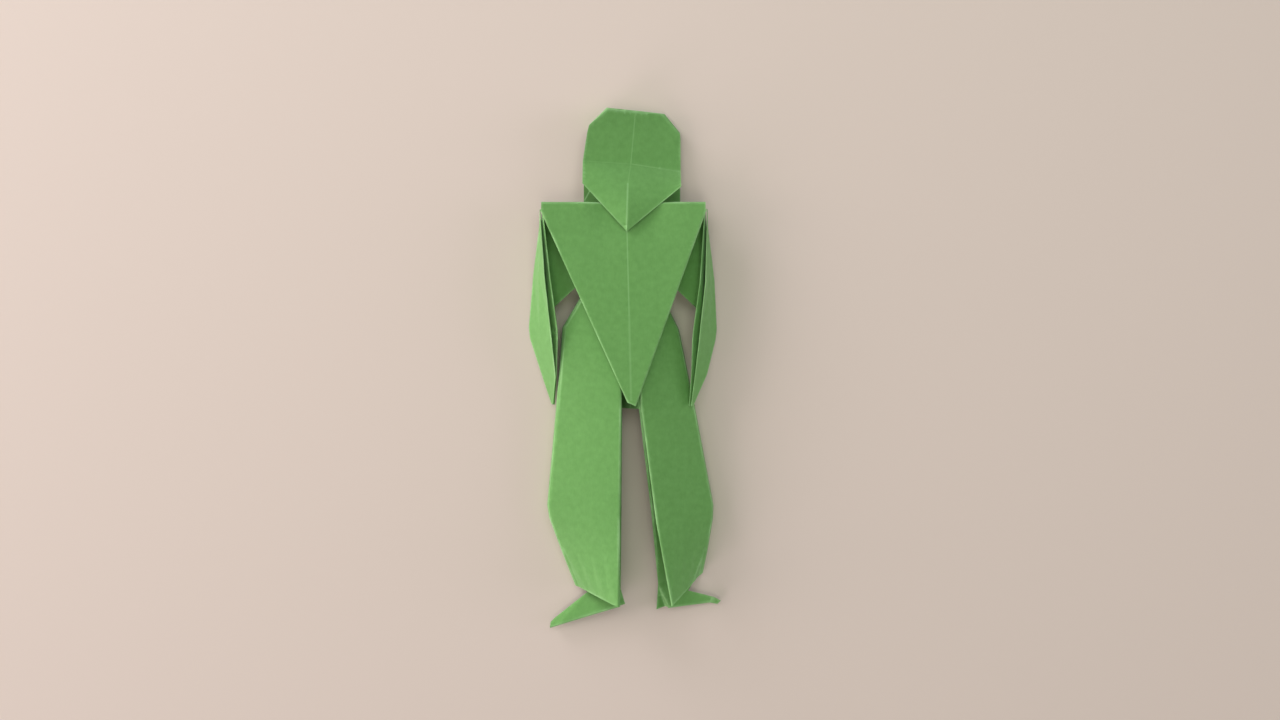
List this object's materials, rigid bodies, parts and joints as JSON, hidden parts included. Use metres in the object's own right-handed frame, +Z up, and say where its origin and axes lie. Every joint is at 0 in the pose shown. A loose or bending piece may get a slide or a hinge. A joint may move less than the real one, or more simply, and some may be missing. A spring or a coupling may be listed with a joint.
{
  "type": "origami human figure",
  "caption": "Standing human figure folded from one square of green paper, with a triangular torso in front, slim arms, long legs and feet turned outward, lying flat on its back.",
  "frame": {"origin": "middle of the figure's outline, on the table under its back", "axes": "+Y from the feet to the head, +Z up from the back to the front, +X across the figure to the viewer's right"},
  "size_m": [0.0478, 0.1284, 0.0101],
  "materials": {
    "green_paper": "matt uncoated coloured paper"
  },
  "bodies": {
    "root": {"folded_sheet": "green_paper"}
  },
  "joints": []
}
